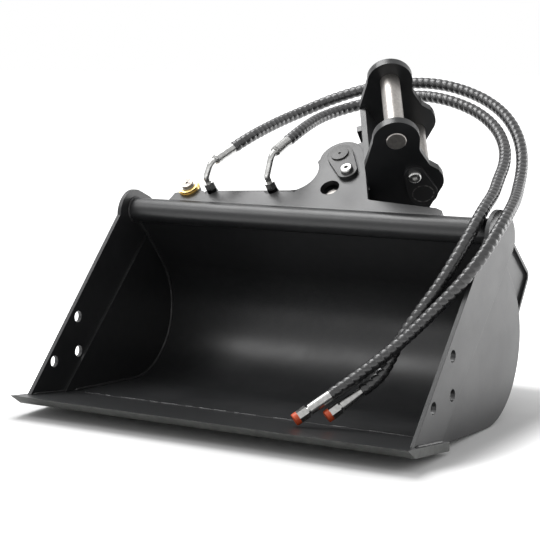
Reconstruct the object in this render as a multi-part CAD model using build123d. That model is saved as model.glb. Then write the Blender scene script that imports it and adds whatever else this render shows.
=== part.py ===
from build123d import *
import math
import os

# Hydraulic tilt bucket for a small excavator, in millimetres.
# X runs across the bucket, -Y is the open mouth and +Z is up.
# The origin is below the middle of the bucket and its head, level with the lowest point of the shell.
# The bucket tilts about an axis that leans back over the shell. The joints rest at full tilt to +X.

# Shell
WIDTH = 800.0
CUTTER_T = 8.0
CHEEK_T = 6.0
SHELL_T = 8.0
ARC_Y, ARC_Z, ARC_R = 26.0, 147.0, 147.0
FLOOR_RISE = 3.5
BLADE_T = 16.0
BLADE_WIDTH = WIDTH + 16.0
BLADE_TIP = (-343.6, 41.0)
BLADE_HEEL = (-178.0, 20.3)
BLADE_BEVEL = 32.0
TUBE_OD = 48.3
TUBE_WALL = 5.0
TUBE_Y, TUBE_Z = 44.5, 354.0
CUTTER_HOLE = 22.0
CUTTER_HOLES = ((-152.5, 162.5), (-152.5, 94.5), (-229.0, 87.0))
CHEEK_LAP = 8.0
FOLD_T = 6.0
END_INSET = 6.0

# Tilt axis
PIVOT = (18.0, 160.4, 468.0)
AXIS_LEAN = 50.5
REST_TILT = 65.0
TILT_PIN = 35.0
PLATE_T = 12.0
PLATE_GAP = 64.0
LOBE_R = 44.0
ANCHOR = (-300.0, -108.0)
ANCHOR_PIN = 25.0
ROD_PIN = 20.0
ACCESS_HOLE = 38.0

# Pin-on head, with distances along the tilt axis (t) and out from it (h)
EAR_T = 16.0
EAR_INNER = 84.0
HEAD_PIN = 38.0
DIPPER_PIN_AT = (82.0, 128.0)
LINK_PIN_AT = (-52.0, 143.0)
LEVER_AT = (81.3, -26.9)
HUB_OD = 64.0
HUB_NECK_OD = 46.4
BUSH_OD = 41.0
BASE_T = 12.0

# Cylinder, with lengths from the anchor pin along its own axis
BARREL_OD = 54.0
BARREL_BORE = 42.0
BARREL_FROM, BARREL_TO = 24.0, 216.0
ROD_OD = 28.0
PORT_A, PORT_B = 50.0, 186.0
CYL_DEPTH = -44.0

# Hoses
HOSE_OD = 23.0
FERRULE_OD = 20.0
CAP_OD = 23.0
NUT_AF = 19.0
END_NUT_AF = 20.5

RUN_FIT = 0.05

lean = math.radians(AXIS_LEAN)
T = Vector(0, -math.cos(lean), math.sin(lean))
U = Vector(0, math.sin(lean), math.cos(lean))
tilt = math.radians(REST_TILT)
Q = U * math.cos(tilt) + Vector(1, 0, 0) * math.sin(tilt)
P = Vector(-1, 0, 0) * math.cos(tilt) + U * math.sin(tilt)
origin = Vector(*PIVOT)

SIDE = Plane.YZ.location
TILT = Plane(origin=origin, x_dir=(1, 0, 0), z_dir=T).location
EAR = Plane(origin=origin, x_dir=T, z_dir=P).location
LEVER = Plane(origin=origin, x_dir=P * -1, z_dir=T).location


def slab(sketch, frame, low, high):
    """Extrude a sketch between two offsets along the frame's normal."""
    return frame * Pos(0, 0, low) * extrude(sketch, high - low, dir=(0, 0, 1))


def disc(frame, x, y, radius, low, high):
    return frame * Pos(x, y, (low + high) / 2) * Cylinder(radius, high - low)


def poly(*points):
    area = sum(a[0] * b[1] - b[0] * a[1] for a, b in zip(points, points[1:] + points[:1]))
    return Polygon(*(points if area > 0 else points[::-1]), align=None)


def rounded(sketch, *corners):
    """Round the named corners, each given as x, y, radius."""
    for x, y, radius in corners:
        corner = sketch.vertices().sort_by_distance((x, y, 0))[0]
        sketch = fillet(corner, radius)
    return sketch


def hull(*circles):
    edges = ShapeList()
    for x, y, radius in circles:
        edges += (Pos(x, y) * Circle(radius)).edges()
    face = make_hull(edges)
    return face if face.faces()[0].normal_at().Z > 0 else -face


def meet(p, d, q, e):
    """Point where the line p + s d crosses the line q + r e."""
    s = ((q[0] - p[0]) * e[1] - (q[1] - p[1]) * e[0]) / (d[0] * e[1] - d[1] * e[0])
    return (p[0] + s * d[0], p[1] + s * d[1])


def unit(p, q):
    length = math.dist(p, q)
    return ((q[0] - p[0]) / length, (q[1] - p[1]) / length)


nodes = {}


def keep(name, shape):
    solids = shape.solids()
    nodes[name] = solids[0] if len(solids) == 1 else shape


half = WIDTH / 2
cheek_out = half - CUTTER_T
cheek_in = cheek_out - CHEEK_T

# Blade
along = unit(BLADE_TIP, BLADE_HEEL)
down = (along[1], -along[0])
blade_end = (BLADE_HEEL[0] + BLADE_T * down[0], BLADE_HEEL[1] + BLADE_T * down[1])
bevel = (
    BLADE_TIP[0] + BLADE_BEVEL * along[0] + BLADE_T * down[0],
    BLADE_TIP[1] + BLADE_BEVEL * along[1] + BLADE_T * down[1],
)
blade = poly(BLADE_TIP, BLADE_HEEL, blade_end, bevel)
keep("cutting_edge", slab(blade, SIDE, -BLADE_WIDTH / 2, BLADE_WIDTH / 2))

# Shell, from the top tube round the back to the blade
rise = math.radians(FLOOR_RISE)
back = (math.sin(lean), math.cos(lean))
run = (math.cos(lean), -math.sin(lean))


def on_arc(radius, direction):
    return (ARC_Y + radius * direction[0], ARC_Z + radius * direction[1])


sole = (-math.sin(rise), -math.cos(rise))
tube_run = (TUBE_Y - ARC_Y) * run[0] + (TUBE_Z - ARC_Z) * run[1]
outer_top = on_arc(ARC_R, back)
outer_start = (outer_top[0] + (tube_run + 8) * run[0], outer_top[1] + (tube_run + 8) * run[1])
outer_sole = on_arc(ARC_R, sole)
shell_front = (BLADE_HEEL[0] + SHELL_T * down[0], BLADE_HEEL[1] + SHELL_T * down[1])
inner_r = ARC_R - SHELL_T
inner_top = on_arc(inner_r, back)
inner_start = (outer_start[0] - SHELL_T * back[0], outer_start[1] - SHELL_T * back[1])
inner_sole = on_arc(inner_r, sole)
start_angle = math.degrees(math.atan2(back[1], back[0]))
sweep_angle = -(start_angle + 90 + FLOOR_RISE)


def shell_arc(radius):
    return CenterArc((ARC_Y, ARC_Z), radius, start_angle, sweep_angle)


shell = make_face(
    Curve()
    + [
        Line(outer_start, outer_top),
        shell_arc(ARC_R),
        Line(outer_sole, shell_front),
        Line(shell_front, BLADE_HEEL),
        Line(BLADE_HEEL, inner_sole),
        shell_arc(inner_r),
        Line(inner_top, inner_start),
        Line(inner_start, outer_start),
    ]
)
tube_hole = SIDE * Pos(TUBE_Y, TUBE_Z, 0) * Cylinder(TUBE_OD / 2, WIDTH + 20)
keep("shell", slab(shell, SIDE, -cheek_in, cheek_in) - tube_hole)
tube = Pos(TUBE_Y, TUBE_Z) * (Circle(TUBE_OD / 2) - Circle(TUBE_OD / 2 - TUBE_WALL))
keep("top_tube", slab(tube, SIDE, -cheek_out, cheek_out))

# Side cutters, each with a round lobe over the end of the tube
toe = (-302.0, 35.8)
rear_toe = (-194.8, 22.6)
rear_dir = unit(rear_toe, (90.0, 300.4))
cutter = poly(toe, (-8.5, 347.7), (42, 345), (77, 340), (118, 340), (120, 327), rear_toe)
cutter = rounded(cutter, (120, 327, 20)) + hull((42, 345, 50), (77, 340, 41))
for y, z in CUTTER_HOLES:
    cutter -= Pos(y, z) * Circle(CUTTER_HOLE / 2)
keep("side_cutter_left", slab(cutter, SIDE, -half, -cheek_out))
keep("side_cutter_right", slab(cutter, SIDE, cheek_out, half))

# Cheek plates, lapped on the inner face of the cutters
lap = (rear_toe[0] - CHEEK_LAP * rear_dir[1], rear_toe[1] + CHEEK_LAP * rear_dir[0])
cheek_toe = meet(lap, rear_dir, BLADE_TIP, along)
cheek_top = meet(lap, rear_dir, outer_start, run)
cheek = make_face(
    Curve()
    + [
        Line(cheek_top, outer_top),
        shell_arc(ARC_R),
        Line(outer_sole, shell_front),
        Line(shell_front, BLADE_HEEL),
        Line(BLADE_HEEL, cheek_toe),
        Line(cheek_toe, cheek_top),
    ]
)
keep("cheek_left", slab(cheek, SIDE, -cheek_out, -cheek_in) - tube_hole)
keep("cheek_right", slab(cheek, SIDE, cheek_in, cheek_out) - tube_hole)


def tilt_point(t, u):
    """World y, z of a point t along the tilt axis and u above it."""
    return (PIVOT[1] + t * T.Y + u * U.Y, PIVOT[2] + t * T.Z + u * U.Z)


# Folded stiffener across the upper back
sheet_u = (outer_top[0] - PIVOT[1]) * back[0] + (outer_top[1] - PIVOT[2]) * back[1]
rear_face = -(2 * PLATE_T + PLATE_GAP)
fold_a = tilt_point(rear_face, sheet_u)
fold_b = tilt_point(rear_face, -112.0)
fold_c = (216.0, 257.0)
fold_d = on_arc(ARC_R, (math.cos(math.radians(17)), math.sin(math.radians(17))))
fold = FilletPolyline(fold_a, fold_b, fold_c, fold_d, radius=14)
inside = on_arc(ARC_R - 30, back)
fold_face = make_face(Curve() + [fold, Line(fold_d, inside), Line(inside, fold_a)])
skin = fold_face - offset(fold_face, -FOLD_T, kind=Kind.INTERSECTION)
chest = make_face(
    Curve()
    + [
        Line(outer_start, outer_top),
        shell_arc(ARC_R),
        Line(outer_sole, outer_start),
    ]
)
stiffener = slab(skin - chest, SIDE, -cheek_out, cheek_out)
for x in (END_INSET - cheek_out, cheek_out - END_INSET - FOLD_T):
    stiffener += slab(fold_face - chest, SIDE, x, x + FOLD_T)
keep("back_stiffener", stiffener)

# Tilt bracket: a front plate on the tube and a rear plate on the shell
flank = Pos(-85, -50) * Circle(52)
edge_h = 46.0
right_low = (edge_h - (-112.0) * math.cos(tilt)) / math.sin(tilt)
right_top = (edge_h * math.sin(tilt), edge_h * math.cos(tilt))


def tilt_plate(bottom, notches):
    sketch = poly(
        (-333, bottom),
        (-328, -122),
        (-285, -113),
        (-182, -106.5),
        (-90, -102.5),
        (-60, -101),
        (-44, -10),
        (-20, 10),
        right_top,
        (right_low, -112),
        (248, -124),
        (263, -130),
        (263, bottom),
    )
    sketch -= flank
    sketch += Circle(LOBE_R)
    sketch += Pos(*ANCHOR) * Circle(21)
    sketch = rounded(sketch, (right_low, -112, 8), (263, -130, 5))
    if notches:
        for length in (PORT_A, PORT_B):
            sketch -= Pos(ANCHOR[0] + length, ANCHOR[1] + 0.074 * length) * Circle(17)
        sketch -= Pos(10.3, -85) * Circle(ACCESS_HOLE / 2)
    sketch -= Circle(TILT_PIN / 2 + RUN_FIT)
    sketch -= Pos(*ANCHOR) * Circle(ANCHOR_PIN / 2 + RUN_FIT)
    return sketch


rear_front = rear_face + PLATE_T
keep("tilt_plate_front", slab(tilt_plate(-146, True), TILT, -PLATE_T, 0) - tube_hole)
keep("tilt_plate_rear", slab(tilt_plate(sheet_u, False), TILT, rear_face, rear_front))
web_box = slab(poly((-6, sheet_u), (6, sheet_u), (6, -128), (-6, -128)), TILT, rear_front, -PLATE_T)
for name, x in (("bracket_web_left", -318), ("bracket_web_middle", -60), ("bracket_web_right", 246)):
    keep(name, (TILT * Pos(x, 0, 0) * TILT.inverse() * web_box) - tube_hole)

# Tilt pin with its flag and bolt
pin = disc(TILT, 0, 0, TILT_PIN / 2, rear_face - 4, 11)
keep("tilt_pin", pin - disc(TILT, 0, 0, 2.5, 5, 12))
flag = hull((0, 0, 26), (33, -43, 20)) - Circle(TILT_PIN / 2) - Pos(33, -43) * Circle(6.2)
keep("tilt_pin_flag", slab(flag, TILT, 0, 8))


def button_bolt(frame, x, y, low, depth, head_r, head_h, shank_r):
    shank = disc(frame, x, y, shank_r, low - depth, low)
    head = disc(frame, x, y, head_r, low, low + head_h)
    head = fillet(head.edges().filter_by(GeomType.CIRCLE).sort_by_distance(
        (frame * Pos(x, y, low + head_h + 50)).position)[0], head_h * 0.45)
    socket = slab(RegularPolygon(head_r * 0.42, 6), frame * Pos(x, y, 0), low + head_h * 0.4, low + head_h + 1)
    return shank + head - socket


keep("tilt_flag_bolt", button_bolt(TILT, 33, -43, 8, 20, 12.5, 8, 6))
nodes["tilt_plate_front"] = (nodes["tilt_plate_front"] - disc(TILT, 33, -43, 6, -12, 1)).solids()[0]

# Anchor pin of the cylinder
groove = disc(TILT, *ANCHOR, 14, 9.4, 11) - disc(TILT, *ANCHOR, ANCHOR_PIN / 2 - 1.5, 9.4, 11)
anchor_pin = disc(TILT, *ANCHOR, ANCHOR_PIN / 2, rear_face, 16) - groove
keep("anchor_pin", anchor_pin - disc(TILT, *ANCHOR, 2.5, 10, 17))


def washer(x, y, outer, inner, low, high):
    ring = Pos(x, y) * (Circle(outer) - Circle(inner))
    return slab(ring, TILT, low, high)


keep("anchor_washer_inner", washer(*ANCHOR, 22, ANCHOR_PIN / 2 + 0.3, 0, 4))
keep("anchor_washer_outer", washer(*ANCHOR, 21, ANCHOR_PIN / 2 + 0.3, 4, 9))
clip = Pos(*ANCHOR) * (Circle(15) - Circle(ANCHOR_PIN / 2 - 1.5))
clip -= Pos(ANCHOR[0] - 14, ANCHOR[1] + 12) * Rotation(0, 0, -40) * Rectangle(26, 9)
keep("anchor_clip", slab(clip, TILT, 9.5, 10.9))

# Head: base plate, two ears, hub and two lever plates
slope = math.radians(10.67)
base_dir = (-math.cos(slope), math.sin(slope))
base_front = (40.0, 65.6)
base_len = 154.7
base_rear = (base_front[0] + base_len * base_dir[0], base_front[1] + base_len * base_dir[1])
base_drop = (-BASE_T * math.sin(slope), -BASE_T * math.cos(slope))
base = poly(
    base_front,
    base_rear,
    (base_rear[0] + base_drop[0], base_rear[1] + base_drop[1]),
    (base_front[0] + base_drop[0], base_front[1] + base_drop[1]),
)
keep("head_base_plate", slab(base, EAR, -EAR_INNER, EAR_INNER))

ear = poly(
    (40, 54),
    (113, 97),
    (116, 152),
    (75, 171.5),
    (46, 163),
    (6, 172),
    (-12, 186),
    (-57, 178),
    (-112, 131),
    (-112, 48.5),
    (-73, 48.5),
    (-73, 32),
    (-15, 32),
    (-15, 48.5),
    (2, 48.5),
)
ear = rounded(ear, (46, 163, 30), (-112, 131, 10), (113, 97, 1), (40, 54, 3))
ear += Pos(*DIPPER_PIN_AT) * Circle(44)
ear += Pos(-30, 150) * Circle(39)
ear -= Pos(*DIPPER_PIN_AT) * Circle(HEAD_PIN / 2 + RUN_FIT)
ear -= Pos(*LINK_PIN_AT) * Circle(HEAD_PIN / 2 + RUN_FIT)
keep("ear_near", slab(ear, EAR, -EAR_INNER - EAR_T, -EAR_INNER))
keep("ear_far", slab(ear, EAR, EAR_INNER, EAR_INNER + EAR_T))

hub_low, hub_high = rear_front + 0.5, -PLATE_T - 0.5
hub = slab(Circle(HUB_OD / 2) - Circle(BUSH_OD / 2), TILT, hub_low, hub_high)
neck = Circle(HUB_OD / 2 + 1) - Circle(HUB_NECK_OD / 2)
keep("hub_tube", hub - slab(neck, TILT, CYL_DEPTH - 14.8, CYL_DEPTH + 14.8))
bush = Circle(BUSH_OD / 2) - Circle(TILT_PIN / 2 + RUN_FIT)
middle = (hub_low + hub_high) / 2
keep("hub_bush_front", slab(bush, TILT, middle + 6, hub_high))
keep("hub_bush_rear", slab(bush, TILT, hub_low, middle - 6))

lever = poly((-70, 110), (-42, 10), (-30, -30), (0, -42), (78, -50.8), (105, -30), (100, 31.8), (84, 31.8), (84, 110))
lever += Circle(42)
lever += Pos(*LEVER_AT) * Circle(24)
lever -= Circle(HUB_OD / 2)
lever -= Pos(*LEVER_AT) * Circle(ROD_PIN / 2)
above = poly(
    (base_front[0] + 60 + base_drop[0], base_front[1] - 60 * math.tan(slope) + base_drop[1]),
    (base_rear[0] + base_drop[0], base_rear[1] + base_drop[1]),
    (base_rear[0], 260),
    (base_front[0] + 60, 260),
)
above_head = slab(above, EAR, -200, 200)
eye_mid = CYL_DEPTH
lever_front = slab(lever, LEVER, eye_mid + 15, eye_mid + 27) - above_head
lever_rear = slab(lever, LEVER, eye_mid - 27, eye_mid - 15) - above_head
keep("lever_plate_front", lever_front)
keep("lever_plate_rear", lever_rear)
ex, ey = LEVER_AT
keep("rod_pin_end_front", disc(LEVER, ex, ey, ROD_PIN / 2, eye_mid + 15, eye_mid + 29))
keep("rod_pin_end_rear", disc(LEVER, ex, ey, ROD_PIN / 2, eye_mid - 29, eye_mid - 15))

# Head pins
far = EAR_INNER + EAR_T
dx, dy = DIPPER_PIN_AT
lx, ly = LINK_PIN_AT
dipper = disc(EAR, dx, dy, HEAD_PIN / 2, -far - 2, far + 8)
near_end = (EAR * Pos(dx, dy, -far - 50)).position
dipper = chamfer(dipper.edges().filter_by(GeomType.CIRCLE).sort_by_distance(near_end)[0], 1.5)
keep("dipper_pin", dipper)
keep("link_pin", disc(EAR, lx, ly, HEAD_PIN / 2, -far, far + 8))


def head_flag(x, y, bolt_x, bolt_y):
    return hull((x, y, 28), (bolt_x, bolt_y, 20)) - Pos(bolt_x, bolt_y) * Circle(6.2)


link_bolt = (-4.0, 139.0)
dipper_bolt = (48.0, 104.0)
keep("link_pin_flag", slab(head_flag(lx, ly, *link_bolt), EAR, -far - 8, -far))
dipper_flag = head_flag(dx, dy, *dipper_bolt) - Pos(dx, dy) * Circle(HEAD_PIN / 2)
keep("dipper_pin_flag", slab(dipper_flag, EAR, far, far + 8))
near_frame = EAR * Rotation(180, 0, 0)
keep("link_flag_bolt", button_bolt(near_frame, link_bolt[0], -link_bolt[1], far + 8, 20, 12.5, 8, 6))
keep("dipper_flag_bolt", button_bolt(EAR, *dipper_bolt, far + 8, 20, 12.5, 8, 6))
nodes["ear_near"] = (nodes["ear_near"] - disc(EAR, *link_bolt, 6, -far - 1, -far + 12)).solids()[0]
nodes["ear_far"] = (nodes["ear_far"] - disc(EAR, *dipper_bolt, 6, far - 12, far + 1)).solids()[0]

# Cylinder
lever_world = LEVER * Pos(ex, ey, 0)
eye = TILT.inverse() * lever_world
eye_x, eye_u = eye.position.X, eye.position.Y
cyl_angle = math.degrees(math.atan2(eye_u - ANCHOR[1], eye_x - ANCHOR[0]))
reach = math.hypot(eye_u - ANCHOR[1], eye_x - ANCHOR[0])
CYL = TILT * Pos(ANCHOR[0], ANCHOR[1], CYL_DEPTH) * Rotation(0, 0, cyl_angle)


def turned(outer, inner, low, high):
    """A ring or bar about the cylinder's own axis."""
    bar = Pos((low + high) / 2, 0, 0) * Rotation(0, 90, 0) * Cylinder(outer, high - low)
    if inner:
        bar -= Pos((low + high) / 2, 0, 0) * Rotation(0, 90, 0) * Cylinder(inner, high - low + 2)
    return bar


def across(x, radius, low, high):
    return Pos(x, 0, (low + high) / 2) * Cylinder(radius, high - low)


base_eye = across(0, 22, -16, 16) + turned(20, 0, 8, BARREL_FROM) - across(0, ANCHOR_PIN / 2 + RUN_FIT, -20, 20)
keep("barrel_base_eye", CYL * base_eye)
barrel = turned(BARREL_OD / 2, 0, BARREL_FROM, BARREL_TO) - turned(BARREL_BORE / 2, 0, BARREL_FROM + 14, BARREL_TO + 1)
for x in (PORT_A, PORT_B):
    barrel += across(x, 11, 20, 34)
    barrel -= across(x, 5, 10, 40)
barrel -= turned(BARREL_BORE / 2, 0, BARREL_FROM + 14, BARREL_TO + 1)
keep("cylinder_barrel", CYL * barrel)
gland = turned(BARREL_BORE / 2, ROD_OD / 2 + RUN_FIT, BARREL_TO - 18, BARREL_TO)
gland += turned(BARREL_OD / 2 + 1, ROD_OD / 2 + RUN_FIT, BARREL_TO, BARREL_TO + 8)
keep("cylinder_gland", CYL * gland)

hexagon = RegularPolygon(NUT_AF / 2, 6, major_radius=False)
for name, x in (("a", PORT_A), ("b", PORT_B)):
    adapter = extrude(hexagon, 12) - Pos(0, 0, 6) * Cylinder(4, 14)
    keep("port_adapter_" + name, CYL * Pos(x, 0, 34) * adapter)
    nut = extrude(hexagon, 16) - Pos(0, 0, 8) * Cylinder(6.05, 18)
    keep("swivel_nut_" + name, CYL * Pos(x, 0, 46) * nut)

# Rod with piston, eye and the middle length of the rod pin
piston_at = 60.0
keep("piston_rod", CYL * turned(ROD_OD / 2, 0, piston_at + 20, reach - 24))
keep("piston", CYL * turned(BARREL_BORE / 2 - RUN_FIT, 0, piston_at, piston_at + 20))
rod_eye = across(reach, 22, -14, 14) + turned(ROD_OD / 2 - 1, 0, reach - 24, reach - 12)
rod_eye -= across(reach, ROD_PIN / 2, -16, 16)
keep("rod_eye", CYL * rod_eye)
keep("rod_pin", CYL * across(reach, ROD_PIN / 2, -14.6, 14.6))

# Hoses. Each list runs from the ferrule at the cylinder to the ferrule on the blade.
HOSE_A = [
    (-197.4, 107.2, 481.6),
    (-181, 140, 501),
    (-174, 195, 517),
    (-166, 245, 531),
    (-150, 296, 546),
    (-119, 340, 566),
    (-68, 364, 586),
    (-10, 379, 600.5),
    (52, 387, 608),
    (114, 389.5, 607.5),
    (175, 384, 596),
    (232, 369.5, 577.5),
    (283, 344.5, 551),
    (323, 311, 517),
    (351, 269.5, 480.5),
    (370, 220, 447.5),
    (385.5, 165, 422.5),
    (404, 107, 408),
    (417.5, 43, 390),
    (421, -16, 363),
    (411, -64, 321),
    (383, -92, 274.5),
    (343.5, -111, 228),
    (306.5, -135.5, 185),
    (264, -160, 143),
    (219, -180, 104.5),
    (192.6, -204.9, 81.5),
]
HOSE_B = [
    (-78.8, 118.6, 498.3),
    (-76, 154, 513),
    (-79, 201, 526),
    (-82, 246, 536),
    (-76, 291, 546),
    (-57, 332, 556.5),
    (-22, 359, 567.5),
    (24, 371, 577),
    (72, 367, 582.5),
    (124, 358, 581.5),
    (183.5, 347.5, 570),
    (239, 330, 550.5),
    (286, 301, 523),
    (319.5, 260, 492),
    (340, 210, 463),
    (350.5, 155, 439),
    (364, 100, 415.5),
    (370, 43, 396.5),
    (371.5, -11, 364),
    (359, -48.5, 318),
    (338.5, -77, 268.5),
    (311, -102, 220),
    (283, -119, 173.5),
    (267.5, -133, 131),
    (256.5, -151.5, 105.5),
    (236.5, -171, 87),
]


def radii(points):
    """One bend radius per inner point, from the shorter run beside it."""
    result = []
    for a, b, c in zip(points, points[1:], points[2:]):
        u = (Vector(*b) - Vector(*a))
        v = (Vector(*c) - Vector(*b))
        half_turn = math.acos(max(-1, min(1, u.normalized().dot(v.normalized())))) / 2
        result.append(0.45 * min(u.length, v.length) / math.tan(half_turn))
    return result


def hose(points):
    bends = radii(points)
    print("bend radii", [round(r) for r in bends])
    path = FilletPolyline(*points, radius=bends)
    start = Plane(origin=path @ 0, z_dir=path % 0)
    return sweep(start * Circle(HOSE_OD / 2), path=path)


def stack(point, direction):
    return Plane(origin=point, z_dir=direction).location


for name, points, port in (("a", HOSE_A, PORT_A), ("b", HOSE_B, PORT_B)):
    keep("hose_" + name, hose(points))
    first, second = Vector(*points[0]), Vector(*points[1])
    out = (second - first).normalized()
    ferrule = stack(first - out * 48, out)
    body = Pos(0, 0, 26) * Cylinder(FERRULE_OD / 2, 44) + extrude(RegularPolygon(8.5, 6, major_radius=False), 4)
    keep("ferrule_" + name, ferrule * (body - Pos(0, 0, 20) * Cylinder(5, 42)))
    nut_face = CYL * Pos(port, 0, 48)
    bend_at = CYL * Pos(port, 0, 74)
    tip = first - out * 48
    elbow_path = FilletPolyline(nut_face.position, bend_at.position, tip - out * 11, tip, radius=[17, 14])
    section = Plane(origin=elbow_path @ 0, z_dir=elbow_path % 0) * Circle(6)
    keep("elbow_" + name, sweep(section, path=elbow_path))
    last, before = Vector(*points[-1]), Vector(*points[-2])
    out = (last - before).normalized()
    end = stack(last, out)
    sleeve = Pos(0, 0, 22) * Cylinder(FERRULE_OD / 2, 44)
    if name == "b":
        sleeve = Pos(0, 0, 22) * Cone(FERRULE_OD / 2 - 2.5, FERRULE_OD / 2, 44)
    keep("end_ferrule_" + name, end * (sleeve + Pos(0, 0, 24) * Cylinder(6.5, 48)))
    end_hexagon = RegularPolygon(END_NUT_AF / 2, 6, major_radius=False)
    keep("end_nut_" + name, end * Pos(0, 0, 48) * extrude(end_hexagon, 19))
    cap = Pos(0, 0, 5) * Cylinder(CAP_OD / 2, 10)
    cap = fillet(cap.edges().sort_by(Axis.Z)[-1], 2.5)
    keep("end_cap_" + name, end * Pos(0, 0, 67) * cap)

os.makedirs("parts", exist_ok=True)
for name, shape in nodes.items():
    export_step(shape, "parts/" + name + ".step")
print(len(nodes), "nodes")
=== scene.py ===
import math
import bpy
import bmesh
from mathutils import Vector, Matrix, noise


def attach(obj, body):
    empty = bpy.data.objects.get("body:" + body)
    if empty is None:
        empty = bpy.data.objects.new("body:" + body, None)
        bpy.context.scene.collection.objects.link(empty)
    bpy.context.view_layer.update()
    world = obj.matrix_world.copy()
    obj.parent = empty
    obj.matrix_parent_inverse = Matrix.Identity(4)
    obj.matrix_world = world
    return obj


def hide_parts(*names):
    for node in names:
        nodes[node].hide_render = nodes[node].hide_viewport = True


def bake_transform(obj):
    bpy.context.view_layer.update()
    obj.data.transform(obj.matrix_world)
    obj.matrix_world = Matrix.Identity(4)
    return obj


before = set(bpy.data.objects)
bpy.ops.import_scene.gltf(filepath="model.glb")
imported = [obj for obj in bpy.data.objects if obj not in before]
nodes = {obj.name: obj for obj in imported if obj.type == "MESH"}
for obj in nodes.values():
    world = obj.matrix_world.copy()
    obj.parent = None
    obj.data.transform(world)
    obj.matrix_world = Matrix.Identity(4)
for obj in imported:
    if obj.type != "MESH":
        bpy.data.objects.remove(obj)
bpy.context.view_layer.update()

scene = bpy.context.scene

# camera
camera_data = bpy.data.cameras.new("camera")
camera_data.sensor_width = 36.0
camera_data.lens = 106.879
camera_data.clip_end = 60.0
camera = bpy.data.objects.new("camera", camera_data)
scene.collection.objects.link(camera)
camera.location = (1.48398, -2.61446, 0.68734)
camera.rotation_euler = (math.radians(81.97), 0.0, math.radians(30.39))
scene.camera = camera

# frames, in millimetres
LEAN = math.radians(50.5)
TILT = math.radians(65.0)
PIVOT = Vector((18.0, 160.4, 468.0))
T = Vector((0.0, -math.cos(LEAN), math.sin(LEAN)))
U = Vector((0.0, math.sin(LEAN), math.cos(LEAN)))
X = Vector((1.0, 0.0, 0.0))
Q = U * math.cos(TILT) + X * math.sin(TILT)
P = -X * math.cos(TILT) + U * math.sin(TILT)
ARC = (26.0, 147.0, 147.0)


def bracket(x, u, t):
    return PIVOT + X * x + U * u + T * t


def head(t, h, p):
    return PIVOT + T * t + Q * h + P * p


def on_arc(radius, degrees):
    a = math.radians(degrees)
    return ARC[0] + radius * math.cos(a), ARC[1] + radius * math.sin(a)


# cords
HOSE_A = [
    (-197.4, 107.2, 481.6),
    (-181, 140, 501),
    (-174, 195, 517),
    (-166, 245, 531),
    (-150, 296, 546),
    (-119, 340, 566),
    (-68, 364, 586),
    (-10, 379, 600.5),
    (52, 387, 608),
    (114, 389.5, 607.5),
    (175, 384, 596),
    (232, 369.5, 577.5),
    (283, 344.5, 551),
    (323, 311, 517),
    (351, 269.5, 480.5),
    (370, 220, 447.5),
    (385.5, 165, 422.5),
    (404, 107, 408),
    (417.5, 43, 390),
    (421, -16, 363),
    (411, -64, 321),
    (383, -92, 274.5),
    (343.5, -111, 228),
    (306.5, -135.5, 185),
    (264, -160, 143),
    (219, -180, 104.5),
    (192.6, -204.9, 81.5),
]
HOSE_B = [
    (-78.8, 118.6, 498.3),
    (-76, 154, 513),
    (-79, 201, 526),
    (-82, 246, 536),
    (-76, 291, 546),
    (-57, 332, 556.5),
    (-22, 359, 567.5),
    (24, 371, 577),
    (72, 367, 582.5),
    (124, 358, 581.5),
    (183.5, 347.5, 570),
    (239, 330, 550.5),
    (286, 301, 523),
    (319.5, 260, 492),
    (340, 210, 463),
    (350.5, 155, 439),
    (364, 100, 415.5),
    (370, 43, 396.5),
    (371.5, -11, 364),
    (359, -48.5, 318),
    (338.5, -77, 268.5),
    (311, -102, 220),
    (283, -119, 173.5),
    (267.5, -133, 131),
    (256.5, -151.5, 105.5),
    (236.5, -171, 87),
]


def smooth_line(points):
    """Points along the smooth NURBS line of a route, in metres."""
    curve = bpy.data.curves.new("route", "CURVE")
    curve.dimensions = "3D"
    curve.resolution_u = 24
    spline = curve.splines.new("NURBS")
    spline.points.add(len(points) - 1)
    for point, co in zip(spline.points, points):
        point.co = (co[0], co[1], co[2], 1.0)
    spline.order_u = 3
    spline.use_endpoint_u = True
    obj = bpy.data.objects.new("route", curve)
    scene.collection.objects.link(obj)
    mesh = bpy.data.meshes.new_from_object(obj)
    line = [v.co.copy() for v in mesh.vertices]
    bpy.data.objects.remove(obj)
    bpy.data.curves.remove(curve)
    bpy.data.meshes.remove(mesh)
    return line


def resample(line, step):
    total = [0.0]
    for a, b in zip(line, line[1:]):
        total.append(total[-1] + (b - a).length)
    count = max(2, int(round(total[-1] / step)))
    result, k = [], 0
    for i in range(count + 1):
        s = total[-1] * i / count
        while k < len(line) - 2 and total[k + 1] < s:
            k += 1
        span = max(total[k + 1] - total[k], 1e-9)
        result.append(line[k].lerp(line[k + 1], (s - total[k]) / span))
    return result, total[-1]


def frames_along(line):
    """Tangent, side and up vectors that don't twist along the line."""
    result = []
    side = None
    for i, p in enumerate(line):
        a, b = line[max(0, i - 1)], line[min(len(line) - 1, i + 1)]
        t = (b - a).normalized()
        if side is None:
            side = t.orthogonal().normalized()
        else:
            side = (side - t * side.dot(t)).normalized()
        result.append((t, side, t.cross(side)))
    return result


def mesh_object(name, verts, faces, smooth=True):
    mesh = bpy.data.meshes.new(name)
    mesh.from_pydata([tuple(v) for v in verts], [], faces)
    mesh.validate()
    if smooth:
        for poly in mesh.polygons:
            poly.use_smooth = True
    obj = bpy.data.objects.new(name, mesh)
    scene.collection.objects.link(obj)
    return obj


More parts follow.
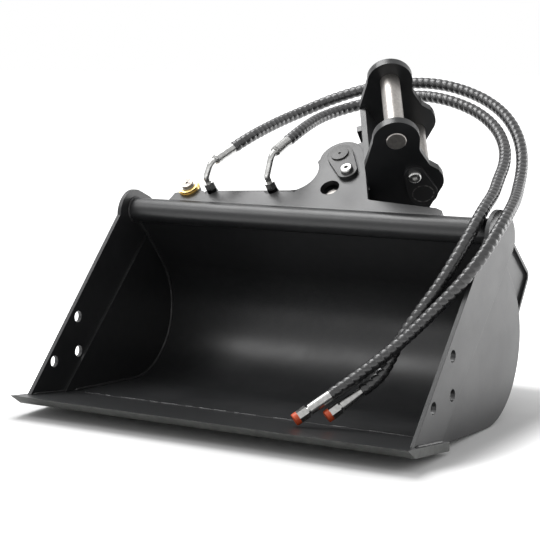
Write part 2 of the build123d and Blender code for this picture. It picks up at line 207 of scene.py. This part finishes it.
def tube(name, line, radius_at, sides=20, caps=True):
    verts, faces = [], []
    basis = frames_along(line)
    for i, (p, (t, a, b)) in enumerate(zip(line, basis)):
        for k in range(sides):
            angle = 2 * math.pi * k / sides
            r = radius_at(i, angle)
            verts.append(p + (a * math.cos(angle) + b * math.sin(angle)) * r)
    for i in range(len(line) - 1):
        for k in range(sides):
            n = (k + 1) % sides
            faces.append((i * sides + k, i * sides + n, (i + 1) * sides + n, (i + 1) * sides + k))
    if caps:
        faces.append(tuple(range(sides - 1, -1, -1)))
        last = (len(line) - 1) * sides
        faces.append(tuple(range(last, last + sides)))
    return mesh_object(name, verts, faces)


PITCH = 0.0135


def guard(name, points, lead):
    """Hose in a spiral guard: rounded bands with a narrow groove between turns."""
    line, length = resample(smooth_line(points), 0.0011)
    step = length / (len(line) - 1)

    def radius(i, angle):
        s = i * step
        turn = (s / PITCH - angle / (2 * math.pi)) % 1.0
        bump = math.sin(math.pi * turn) ** 0.55
        wobble = 0.00018 * noise.noise(Vector((s * 60, lead, math.cos(angle))))
        ends = min(1.0, s / 0.004, (length - s) / 0.004)
        return 0.0099 + 0.0017 * bump * max(0.0, ends) + wobble

    obj = tube(name, line, radius, 24)
    return obj, line, length


hoses = {}
for key, points in (("a", HOSE_A), ("b", HOSE_B)):
    metres = [tuple(c / 1000.0 for c in p) for p in points]
    obj, line, length = guard("hose_guard_" + key, metres, 3.0 if key == "a" else 8.0)
    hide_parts("hose_" + key)
    hoses[key] = (obj, line, length, metres)

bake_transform(hoses["a"][0])
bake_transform(hoses["b"][0])


# materials
def material(name):
    m = bpy.data.materials.new(name)
    m.use_nodes = True
    tree = m.node_tree
    shader = tree.nodes["Principled BSDF"]
    return m, tree, shader


def add(tree, kind, **values):
    node = tree.nodes.new(kind)
    for key, value in values.items():
        if key in node.inputs:
            node.inputs[key].default_value = value
        else:
            setattr(node, key, value)
    return node


def coords(tree, scale=(1, 1, 1)):
    geo = add(tree, "ShaderNodeTexCoord")
    mapping = add(tree, "ShaderNodeMapping")
    mapping.inputs["Scale"].default_value = scale
    tree.links.new(geo.outputs["Object"], mapping.inputs["Vector"])
    return mapping.outputs["Vector"]


def noise_tex(tree, vector, scale, detail=4.0, rough=0.55):
    n = add(tree, "ShaderNodeTexNoise", Scale=scale, Detail=detail, Roughness=rough)
    tree.links.new(vector, n.inputs["Vector"])
    return n.outputs["Fac"]


def ramp(tree, value, stops):
    node = add(tree, "ShaderNodeValToRGB")
    elements = node.color_ramp.elements
    while len(elements) < len(stops):
        elements.new(0.5)
    for e, (at, colour) in zip(elements, stops):
        e.position = at
        e.color = (colour[0], colour[1], colour[2], 1.0) if not isinstance(colour, float) else (colour,) * 3 + (1.0,)
    tree.links.new(value, node.inputs["Fac"])
    return node.outputs["Color"]


def mix_colour(tree, fac, a, b):
    node = add(tree, "ShaderNodeMix", data_type="RGBA")
    node.inputs[0].default_value = 0.5
    for socket, value in ((node.inputs[0], fac), (node.inputs[6], a), (node.inputs[7], b)):
        if isinstance(value, bpy.types.NodeSocket):
            tree.links.new(value, socket)
        elif isinstance(value, float):
            socket.default_value = value
        else:
            socket.default_value = (value[0], value[1], value[2], 1.0)
    return node.outputs[2]


def maths(tree, operation, a, b=None):
    node = add(tree, "ShaderNodeMath", operation=operation)
    for socket, value in ((node.inputs[0], a), (node.inputs[1], b)):
        if value is None:
            continue
        if isinstance(value, bpy.types.NodeSocket):
            tree.links.new(value, socket)
        else:
            socket.default_value = value
    return node.outputs[0]


def bump(tree, shader, height, distance, strength=1.0, edge=0.0):
    node = add(tree, "ShaderNodeBump", Strength=strength, Distance=distance)
    tree.links.new(height, node.inputs["Height"])
    if edge:
        bevel = add(tree, "ShaderNodeBevel", Radius=edge)
        bevel.samples = 4
        tree.links.new(bevel.outputs["Normal"], node.inputs["Normal"])
    tree.links.new(node.outputs["Normal"], shader.inputs["Normal"])


def paint(name, base=(0.014, 0.0145, 0.0155), rough=0.36, peel=0.00012, edge=0.0012, dust=0.5):
    """Satin black machine paint with light orange peel, dust and thin edges."""
    m, tree, shader = material(name)
    v = coords(tree)
    big = noise_tex(tree, v, 9.0, 3.0)
    fine = noise_tex(tree, v, 420.0, 2.0)
    mottle = noise_tex(tree, v, 60.0, 5.0, 0.65)
    dusty = tuple(c * 1.0 + 0.012 for c in base)
    tint = mix_colour(tree, ramp(tree, mottle, ((0.42, 0.0), (0.75, dust))), base, dusty)
    tree.links.new(tint, shader.inputs["Base Color"])
    r = ramp(tree, big, ((0.3, rough - 0.05), (0.7, rough + 0.06)))
    tree.links.new(r, shader.inputs["Roughness"])
    shader.inputs["Specular IOR Level"].default_value = 0.5
    bump(tree, shader, fine, peel, 1.0, edge)
    return m


def metal(name, colour, rough, streak=0.12, scale=(1, 1, 1), bump_mm=0.00003):
    m, tree, shader = material(name)
    v = coords(tree, scale)
    n = noise_tex(tree, v, 160.0, 5.0, 0.6)
    dark = tuple(c * 0.72 for c in colour)
    tint = mix_colour(tree, ramp(tree, n, ((0.35, 0.0), (0.65, 1.0))), dark, colour)
    tree.links.new(tint, shader.inputs["Base Color"])
    shader.inputs["Metallic"].default_value = 1.0
    tree.links.new(ramp(tree, n, ((0.3, rough + streak), (0.7, rough))), shader.inputs["Roughness"])
    bump(tree, shader, n, bump_mm, 1.0)
    return m


black = paint("black_paint")
black_weld = paint("weld_paint", base=(0.02, 0.02, 0.021), rough=0.42, peel=0.0003, edge=0.0, dust=0.8)
black_head = paint("head_paint", base=(0.008, 0.0085, 0.0095), rough=0.33, dust=0.3)
flag_paint = paint("flag_paint", base=(0.02, 0.02, 0.02), rough=0.42)
pin_steel = metal("pin_steel", (0.42, 0.40, 0.38), 0.28, 0.16)
pin_dark = metal("pin_dark", (0.30, 0.28, 0.26), 0.34, 0.18)
chrome = metal("chrome_rod", (0.80, 0.81, 0.83), 0.08, 0.05)
bronze = metal("bronze", (0.62, 0.42, 0.18), 0.30, 0.12)
zinc = metal("zinc", (0.50, 0.50, 0.49), 0.24, 0.14)
bolt_black = metal("bolt_black", (0.10, 0.10, 0.10), 0.34, 0.10)
yellow_zinc = metal("yellow_zinc", (0.80, 0.58, 0.24), 0.24, 0.14)
fitting = metal("black_fitting", (0.06, 0.06, 0.06), 0.32, 0.10)


def hose_material():
    m, tree, shader = material("hose_guard")
    v = coords(tree)
    n = noise_tex(tree, v, 90.0, 5.0, 0.6)
    tint = mix_colour(tree, ramp(tree, n, ((0.4, 0.0), (0.7, 1.0))), (0.018, 0.018, 0.019), (0.042, 0.042, 0.043))
    tree.links.new(tint, shader.inputs["Base Color"])
    tree.links.new(ramp(tree, n, ((0.3, 0.22), (0.7, 0.36))), shader.inputs["Roughness"])
    shader.inputs["Specular IOR Level"].default_value = 0.75
    bump(tree, shader, noise_tex(tree, v, 500.0, 2.0), 0.0001, 0.6)
    return m


def cap_material():
    m, tree, shader = material("orange_cap")
    v = coords(tree)
    n = noise_tex(tree, v, 200.0, 3.0)
    tint = mix_colour(tree, n, (0.62, 0.07, 0.02), (0.80, 0.13, 0.04))
    tree.links.new(tint, shader.inputs["Base Color"])
    shader.inputs["Roughness"].default_value = 0.42
    bump(tree, shader, n, 0.0001, 0.5)
    return m


def blade_material():
    """Painted blade whose faces that don't point up get a lighter mottled grey: scuffed paint on the bevel, and a
    painted reflection on every such face.
    """
    m, tree, shader = material("blade")
    v = coords(tree)
    n = noise_tex(tree, v, 70.0, 6.0, 0.7)
    geo = add(tree, "ShaderNodeNewGeometry")
    split = add(tree, "ShaderNodeSeparateXYZ")
    tree.links.new(geo.outputs["True Normal"], split.inputs[0])
    # faces pointing less than this far up get the lighter grey, a painted reflection with scuffed paint on the bevel
    below = maths(tree, "LESS_THAN", split.outputs["Z"], 0.4)
    lighter_mask = maths(tree, "MULTIPLY", below, 1.0)
    tint = mix_colour(tree, ramp(tree, n, ((0.35, 0.0), (0.7, 1.0))), (0.045, 0.047, 0.045), (0.095, 0.098, 0.092))
    top = mix_colour(tree, ramp(tree, n, ((0.45, 0.0), (0.8, 0.6))), (0.014, 0.0145, 0.0155), (0.03, 0.03, 0.03))
    tree.links.new(mix_colour(tree, lighter_mask, top, tint), shader.inputs["Base Color"])
    rough = maths(tree, "MULTIPLY_ADD", lighter_mask, 0.22)
    node = rough.node
    node.inputs[2].default_value = 0.36
    tree.links.new(rough, shader.inputs["Roughness"])
    bump(tree, shader, n, 0.0003, 0.7, 0.0015)
    return m


def scraped(name, centre, radius, axis):
    """Black paint scraped to bare metal in a ring about an axis."""
    m, tree, shader = material(name)
    v = coords(tree)
    n = noise_tex(tree, v, 130.0, 5.0, 0.65)
    off = add(tree, "ShaderNodeVectorMath", operation="SUBTRACT")
    tree.links.new(v, off.inputs[0])
    off.inputs[1].default_value = centre
    flat = add(tree, "ShaderNodeVectorMath", operation="CROSS_PRODUCT")
    tree.links.new(off.outputs[0], flat.inputs[0])
    flat.inputs[1].default_value = axis
    size = add(tree, "ShaderNodeVectorMath", operation="LENGTH")
    tree.links.new(flat.outputs[0], size.inputs[0])
    gap = maths(tree, "ABSOLUTE", maths(tree, "SUBTRACT", size.outputs["Value"], radius))
    line = ramp(tree, maths(tree, "MULTIPLY", gap, 400.0), ((0.25, 1.0), (0.65, 0.0)))
    lighter_mask = maths(tree, "MULTIPLY", line, ramp(tree, n, ((0.42, 0.1), (0.6, 1.0))))
    tree.links.new(mix_colour(tree, lighter_mask, (0.011, 0.011, 0.012), (0.30, 0.29, 0.28)), shader.inputs["Base Color"])
    tree.links.new(lighter_mask, shader.inputs["Metallic"])
    shader.inputs["Roughness"].default_value = 0.42
    bump(tree, shader, n, 0.0002, 0.6, 0.0012)
    return m


link_flag = scraped("link_flag", head(-52, 143, 0) / 1000, 0.020, P)
hose_skin = hose_material()
orange = cap_material()
blade = blade_material()

dress = {
    "cutting_edge": blade,
    "tilt_pin": flag_paint,
    "tilt_pin_flag": flag_paint,
    "anchor_pin": pin_dark,
    "dipper_pin": pin_steel,
    "link_pin": pin_steel,
    "rod_pin": pin_steel,
    "rod_pin_end_front": pin_steel,
    "rod_pin_end_rear": pin_steel,
    "piston": pin_steel,
    "anchor_clip": zinc,
    "piston_rod": chrome,
    "hub_bush_front": bronze,
    "hub_bush_rear": bronze,
    "anchor_washer_inner": yellow_zinc,
    "anchor_washer_outer": yellow_zinc,
    "port_adapter_a": fitting,
    "port_adapter_b": fitting,
    "end_cap_a": orange,
    "end_cap_b": orange,
}
for name in ("swivel_nut", "elbow", "ferrule", "end_ferrule", "end_nut"):
    dress[name + "_a"] = zinc
    dress[name + "_b"] = zinc
for name in ("tilt_flag_bolt", "link_flag_bolt", "dipper_flag_bolt"):
    dress[name] = zinc
for name in ("ear_near", "ear_far", "head_base_plate", "lever_plate_front", "lever_plate_rear", "hub_tube",
             "link_pin_flag", "dipper_pin_flag"):
    dress[name] = black_head
dress["link_pin_flag"] = link_flag


def set_material(obj, mat):
    obj.data.materials.clear()
    obj.data.materials.append(mat)


for name, obj in nodes.items():
    set_material(obj, dress.get(name, black))
for key in "ab":
    set_material(hoses[key][0], hose_skin)

# welds
weld_count = 0


def weld(points, body, radius=2.6, period=4.6, gap=None, rough=0.35, mat=None):
    """A rippled bead along points given in millimetres."""
    global weld_count
    weld_count += 1
    line, length = resample([Vector(p) / 1000.0 for p in points], 0.0013)
    step = length / (len(line) - 1)
    seed = weld_count * 7.3
    r = radius / 1000.0

    def radius_at(i, angle):
        s = i * step
        ripple = 0.13 * abs(math.sin(math.pi * s / (period / 1000.0)))
        lump = rough * noise.noise(Vector((s * 90.0, seed, math.cos(angle))))
        end = max(0.25, min(1.0, s / 0.006, (length - s) / 0.006))
        level = 1.0
        if gap:
            level = 1.0 if noise.noise(Vector((s * 55.0, seed, 4.0))) > gap else 0.3
        return r * (0.85 + ripple + lump) * end * level

    obj = tube("weld_%02d" % weld_count, line, radius_at, 10)
    set_material(obj, mat or black_weld)
    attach(obj, body)
    return obj


def arc_points(radius, a, b, x, count=40):
    return [(x, *on_arc(radius, a + (b - a) * i / count)) for i in range(count + 1)]


top_angle = 90 - 50.5
for x, side in ((-386.0, -1), (386.0, 1)):
    lap_x = x + side * 6
    # along the front edge of the cheek, on the cutter
    weld([(lap_x - side * 1.0, -192.0, 33.0), (lap_x - side * 1.0, 45.0, 262.0), (lap_x - side * 1.0, 62.0, 281.0)], "bucket", 2.4)
    # round the inside corner of cheek and shell
    inner = 138.0
    top = on_arc(inner, top_angle)
    start = (top[0] - 130 * math.cos(LEAN), top[1] + 130 * math.sin(LEAN))
    curve = [(x, start[0], start[1])] + arc_points(inner, top_angle, -93.5, x)
    curve.append((x, -176.0, 22.0))
    weld(curve, "bucket", 3.4, 5.2)
    # cutter foot on the blade
    weld([(lap_x - side * 1.0, -296.0, 36.0), (lap_x - side * 1.0, -194.0, 23.0)], "bucket", 2.8)
    weld([(lap_x + side * 9.0, -298.0, 36.0), (lap_x + side * 9.0, -194.0, 23.0)], "bucket", 3.0)
    # outer lap of the cheek behind the cutter
    weld([(lap_x + side * 0.6, -190.0, 20.0), (lap_x + side * 0.6, 88.0, 296.0)], "bucket", 1.6)

# stitch weld of the shell on the blade
weld([(-384.0, -178.5, 20.4), (384.0, -178.5, 20.4)], "bucket", 1.7, 9.0, gap=-0.05)
# tube on the shell and on the cutters
weld([(-384.0, 58.0, 332.5), (384.0, 58.0, 332.5)], "bucket", 2.0)
for x in (-391.0, 391.0):
    ring = [(x, 44.5 + 25.0 * math.cos(a), 354.0 + 25.0 * math.sin(a)) for a in
            [2 * math.pi * i / 48 for i in range(49)]]
    weld(ring, "bucket", 2.2)

# stage and light
floor_mesh = bpy.data.meshes.new("floor")
size = 30.0
floor_mesh.from_pydata([(-size, -size, 0), (size, -size, 0), (size, size, 0), (-size, size, 0)], [], [(0, 1, 2, 3)])
floor = bpy.data.objects.new("floor", floor_mesh)
scene.collection.objects.link(floor)
floor.location = (0, 0, -0.0015)
m, tree, shader = material("floor")
tree.nodes.remove(shader)
output = tree.nodes["Material Output"]
geo = add(tree, "ShaderNodeNewGeometry")
xyz = add(tree, "ShaderNodeSeparateXYZ")
tree.links.new(geo.outputs["Position"], xyz.inputs[0])


def beyond(value, limit):
    return maths(tree, "MAXIMUM", maths(tree, "SUBTRACT", maths(tree, "ABSOLUTE", value), limit), 0.0)


dx, dy = beyond(xyz.outputs["X"], 0.40), beyond(xyz.outputs["Y"], 0.33)
distance = maths(tree, "SQRT", maths(tree, "ADD", maths(tree, "MULTIPLY", dx, dx), maths(tree, "MULTIPLY", dy, dy)))
fade = add(tree, "ShaderNodeMapRange", interpolation_type="SMOOTHSTEP")
tree.links.new(distance, fade.inputs[0])
fade.inputs[1].default_value = 0.02
fade.inputs[2].default_value = 0.16
path = add(tree, "ShaderNodeLightPath")
seen = maths(tree, "MAXIMUM", path.outputs["Is Camera Ray"], maths(tree, "MAXIMUM", path.outputs["Is Glossy Ray"], path.outputs["Is Transmission Ray"]))
glow = add(tree, "ShaderNodeEmission")
tree.links.new(maths(tree, "MULTIPLY", fade.outputs[0], seen), glow.inputs["Strength"])
matte = add(tree, "ShaderNodeBsdfDiffuse")
matte.inputs["Color"].default_value = (0.86, 0.86, 0.86, 1.0)
both = add(tree, "ShaderNodeAddShader")
tree.links.new(matte.outputs[0], both.inputs[0])
tree.links.new(glow.outputs[0], both.inputs[1])
tree.links.new(both.outputs[0], output.inputs["Surface"])
set_material(floor, m)

world = bpy.data.worlds.new("world")
scene.world = world
world.use_nodes = True
tree = world.node_tree
tree.nodes.clear()
path = add(tree, "ShaderNodeLightPath")
seen = maths(tree, "MAXIMUM", path.outputs["Is Camera Ray"], maths(tree, "MAXIMUM", path.outputs["Is Glossy Ray"], path.outputs["Is Transmission Ray"]))
dim = add(tree, "ShaderNodeBackground", Strength=0.45)
white = add(tree, "ShaderNodeBackground", Strength=1.0)
for b in (dim, white):
    b.inputs["Color"].default_value = (1, 1, 1, 1)
mixer = add(tree, "ShaderNodeMixShader")
tree.links.new(seen, mixer.inputs[0])
tree.links.new(dim.outputs[0], mixer.inputs[1])
tree.links.new(white.outputs[0], mixer.inputs[2])
out = add(tree, "ShaderNodeOutputWorld")
tree.links.new(mixer.outputs[0], out.inputs["Surface"])


def area(name, location, target, width, height, power):
    data = bpy.data.lights.new(name, "AREA")
    data.shape = "RECTANGLE"
    data.size = width
    data.size_y = height
    data.energy = power
    obj = bpy.data.objects.new(name, data)
    scene.collection.objects.link(obj)
    obj.location = location
    obj.rotation_euler = (Vector(target) - Vector(location)).to_track_quat("-Z", "Y").to_euler()
    return obj


area("softbox_top", (-0.85, 0.05, 2.15), (0.0, 0.1, 0.3), 1.3, 1.1, 36.0)
area("softbox_left", (-1.35, -1.45, 2.05), (0.0, 0.0, 0.25), 1.1, 0.9, 16.0)
area("softbox_right", (1.9, 2.1, 0.7), (0.35, 0.0, 0.25), 1.6, 1.4, 30.0)

scene.view_settings.view_transform = "Standard"
